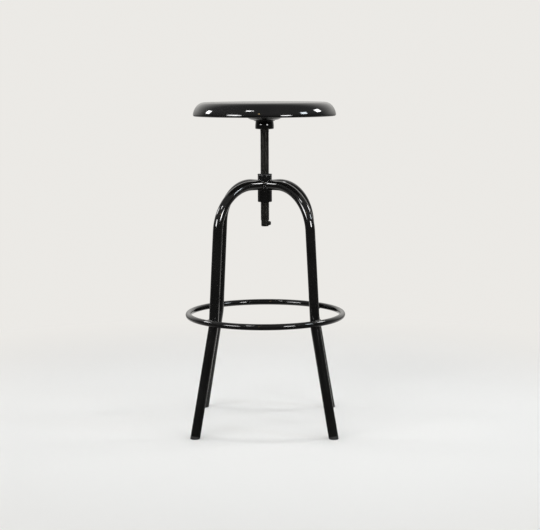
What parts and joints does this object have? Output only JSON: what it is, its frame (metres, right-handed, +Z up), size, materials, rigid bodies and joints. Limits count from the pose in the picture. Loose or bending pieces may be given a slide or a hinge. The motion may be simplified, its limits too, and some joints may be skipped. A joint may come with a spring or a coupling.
{
  "type": "swivel bar stool",
  "caption": "Swivel bar stool: a round pressed seat on a screw spindle that raises it as it turns, over bent tube legs tied by a round foot ring.",
  "frame": {"origin": "on the floor, on the axis of the screw spindle, midway between the four feet", "axes": "+Z up along the spindle; the front of the stool faces -Y and its legs stand on the diagonals"},
  "size_m": [0.3745, 0.3746, 0.754],
  "materials": {
    "gloss_black_paint": "gloss",
    "blackened_screw_steel": "satin",
    "plain_steel": "satin",
    "black_nylon": "satin",
    "black_plug_plastic": "matte"
  },
  "bodies": {
    "frame": {"spindle_nut": "gloss_black_paint", "leg_welds": "gloss_black_paint", "foot_ring": "gloss_black_paint", "ring_welds": "gloss_black_paint", "leg_front_left": "gloss_black_paint", "leg_front_right": "gloss_black_paint", "leg_rear_left": "gloss_black_paint", "leg_rear_right": "gloss_black_paint", "foot_plug_front_left": "black_plug_plastic", "foot_plug_front_right": "black_plug_plastic", "foot_plug_rear_left": "black_plug_plastic", "foot_plug_rear_right": "black_plug_plastic"},
    "washer": {"wear_washer": "black_nylon"},
    "seat": {"seat_pan": "gloss_black_paint", "seat_support_dish": "gloss_black_paint", "seat_hub": "gloss_black_paint", "hub_weld": "gloss_black_paint", "spindle": "blackened_screw_steel", "stop_screw": "blackened_screw_steel", "lock_washer": "plain_steel", "lock_nut": "plain_steel"}
  },
  "joints": [
    {"name": "seat_turn", "type": "hinge", "parent": "frame", "child": "washer", "pos_m": [0, 0, 0.589], "axis": [0, 0, 1], "range_deg": [-14832, 6408]},
    {"name": "seat_height", "type": "slide", "parent": "washer", "child": "seat", "axis": [0, 0, 1], "range_m": [-0.103, 0.0445]}
  ],
  "couplings": [
    {"joint": "seat_height", "follows": "seat_turn", "m_per_rad": 0.00039789}
  ]
}
